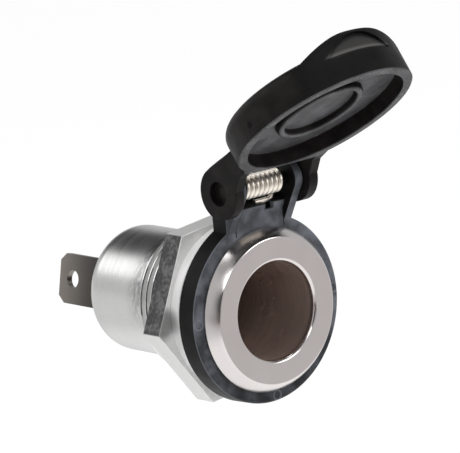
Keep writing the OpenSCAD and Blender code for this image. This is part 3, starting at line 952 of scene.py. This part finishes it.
class SOCKET_OT_stage(bpy.types.Operator):
    """Adds the floor, the soft lamps and the camera"""

    bl_idname = "socket.stage"
    bl_label = "Stage"

    def execute(self, context):
        scene = context.scene
        scene.view_settings.view_transform = "Standard"
        self.make_camera(scene)
        self.make_world(scene)
        self.make_floor()
        soft_lamp("lamp_top", (0.02, -0.02, 0.4), (0, 0.01, 0.01), size=0.28, power=0.6)
        soft_lamp("lamp_left", (-0.24, -0.38, 0.32), (0, 0.01, 0.01), size=0.18, power=0.42)
        soft_lamp("lamp_front", (0.22, -0.34, 0.2), (0, 0, 0.01), size=0.2, power=0.4)
        soft_lamp("lamp_back", (-0.2, 0.36, 0.25), (0, 0.02, 0), size=0.2, power=0.14)
        return {"FINISHED"}

    def make_camera(self, scene):
        """The photograph's view, with the socket's origin on its own picture column and row"""
        sizes = scene.socket_camera
        turn, rise, roll = sizes.turn, sizes.rise, sizes.roll
        back = Vector((-math.sin(turn) * math.cos(rise), -math.cos(turn) * math.cos(rise), math.sin(rise)))
        level = Vector((math.cos(turn), -math.sin(turn), 0))
        upward = back.cross(level)
        right = math.cos(roll) * level + math.sin(roll) * upward
        up = math.cos(roll) * upward - math.sin(roll) * level
        pixel = sizes.distance / sizes.focal
        across = (sizes.across - PICTURE[0] / 2) * pixel
        down = (sizes.down - PICTURE[1] / 2) * pixel
        place = back * sizes.distance - right * across + up * down
        data = bpy.data.cameras.new("camera")
        data.sensor_width = SENSOR
        data.lens = sizes.focal / PICTURE[0] * SENSOR
        data.clip_start = 0.01
        data.clip_end = 20
        camera = bpy.data.objects.new("camera", data)
        camera.matrix_world = Matrix.Translation(place) @ Matrix((right, up, back)).transposed().to_4x4()
        scene.collection.objects.link(camera)
        scene.camera = camera

    def make_world(self, scene):
        """White for the camera; the light and the reflections come from a pale tent with dark gaps"""
        world = bpy.data.worlds.new("studio")
        scene.world = world
        world.use_nodes = True
        studio = Nodes(world.node_tree)
        way = studio.node("ShaderNodeTexCoord").outputs["Generated"]
        shade = 1
        for aim, near, far, dark in DARK_GAPS:
            towards = {0: way, 1: Vector(aim).normalized()}
            facing = studio.node("ShaderNodeVectorMath", {"operation": "DOT_PRODUCT"}, towards)
            shade = shade * (1 - studio.step(facing.outputs["Value"], far, near) * (1 - dark))
        tent = studio.give(studio.tree.nodes["Background"], {"Color": shade, "Strength": TENT})
        white = studio.node("ShaderNodeBackground", {}, {"Color": (1, 1, 1, 1)})
        seen = studio.node("ShaderNodeLightPath").outputs["Is Camera Ray"]
        surface = studio.between(seen, tent, white)
        studio.give(studio.tree.nodes["World Output"], {"Surface": surface.outputs[0]})

    def make_floor(self):
        """A pale floor, white to the camera but for the shadow; metal mirrors tones of its own from it"""
        form = bmesh.new()
        bmesh.ops.create_grid(form, x_segments=1, y_segments=1, size=3)
        bmesh.ops.translate(form, vec=(0, 0, FLOOR), verts=form.verts)
        mesh = bpy.data.meshes.new("floor")
        form.to_mesh(mesh)
        form.free()
        floor = bpy.data.objects.new("floor", mesh)
        bpy.context.scene.collection.objects.link(floor)
        finish = Finish("pale_floor", (0.9, 0.9, 0.9), 0.9, specular=0)
        path = finish.node("ShaderNodeLightPath").outputs
        glow = finish.node("ShaderNodeEmission", {}, {"Strength": 1.12})
        seen = finish.between(0.8, finish.shader, glow)
        patch = finish.step(finish.distance(DARK_PATCH), 1.0, 1.3)
        front = finish.mix(patch, MIRRORED_DARK, MIRRORED_FRONT)
        ground = finish.mix(finish.step(finish.part("Y"), -0.17, -0.08), front, MIRRORED_BEHIND)
        below = finish.step(finish.distance(BELOW), 0.15, 0.09)
        colours = {"Color": finish.mix(below, ground, MIRRORED_BELOW)}
        mirrored = finish.node("ShaderNodeEmission", {}, colours)
        other = finish.between(path["Is Glossy Ray"], finish.shader, mirrored)
        surface = finish.between(path["Is Camera Ray"], other, seen)
        finish.give(finish.tree.nodes["Material Output"], {"Surface": surface.outputs[0]})
        mesh.materials.append(finish.material)


OPERATORS = (
    SOCKET_OT_shell,
    SOCKET_OT_nut,
    SOCKET_OT_ring_web,
    SOCKET_OT_spring,
    SOCKET_OT_lid,
    SOCKET_OT_cad_finishes,
    SOCKET_OT_stage,
)
GROUPS = {
    "socket_colours": Colours,
    "socket_shell": ShellSizes,
    "socket_nut": NutSizes,
    "socket_ring": RingSizes,
    "socket_spring": SpringSizes,
    "socket_lid": LidSizes,
    "socket_camera": CameraSizes,
}


class SOCKET_PT_pieces(bpy.types.Panel):
    """Lists the socket's pieces and their sizes"""

    bl_idname = "SOCKET_PT_pieces"
    bl_label = "Power socket"
    bl_space_type = "VIEW_3D"
    bl_region_type = "UI"
    bl_category = "Power socket"

    def draw(self, context):
        for operator in OPERATORS:
            self.layout.operator(operator.bl_idname)
        for name, group in GROUPS.items():
            box = self.layout.box()
            for size in group.__annotations__:
                box.prop(getattr(context.scene, name), size)


CLASSES = (*GROUPS.values(), *OPERATORS, SOCKET_PT_pieces)


def register():
    for cls in CLASSES:
        bpy.utils.register_class(cls)
    for name, group in GROUPS.items():
        setattr(bpy.types.Scene, name, bpy.props.PointerProperty(type=group))


def unregister():
    for name in GROUPS:
        delattr(bpy.types.Scene, name)
    for cls in reversed(CLASSES):
        bpy.utils.unregister_class(cls)


def main():
    register()
    bpy.ops.socket.shell()
    bpy.ops.socket.nut()
    bpy.ops.socket.ring_web()
    bpy.ops.socket.spring()
    bpy.ops.socket.lid()
    bpy.ops.socket.cad_finishes()
    bpy.ops.socket.stage()
    bpy.context.view_layer.update()


if __name__ == "__main__":
    main()
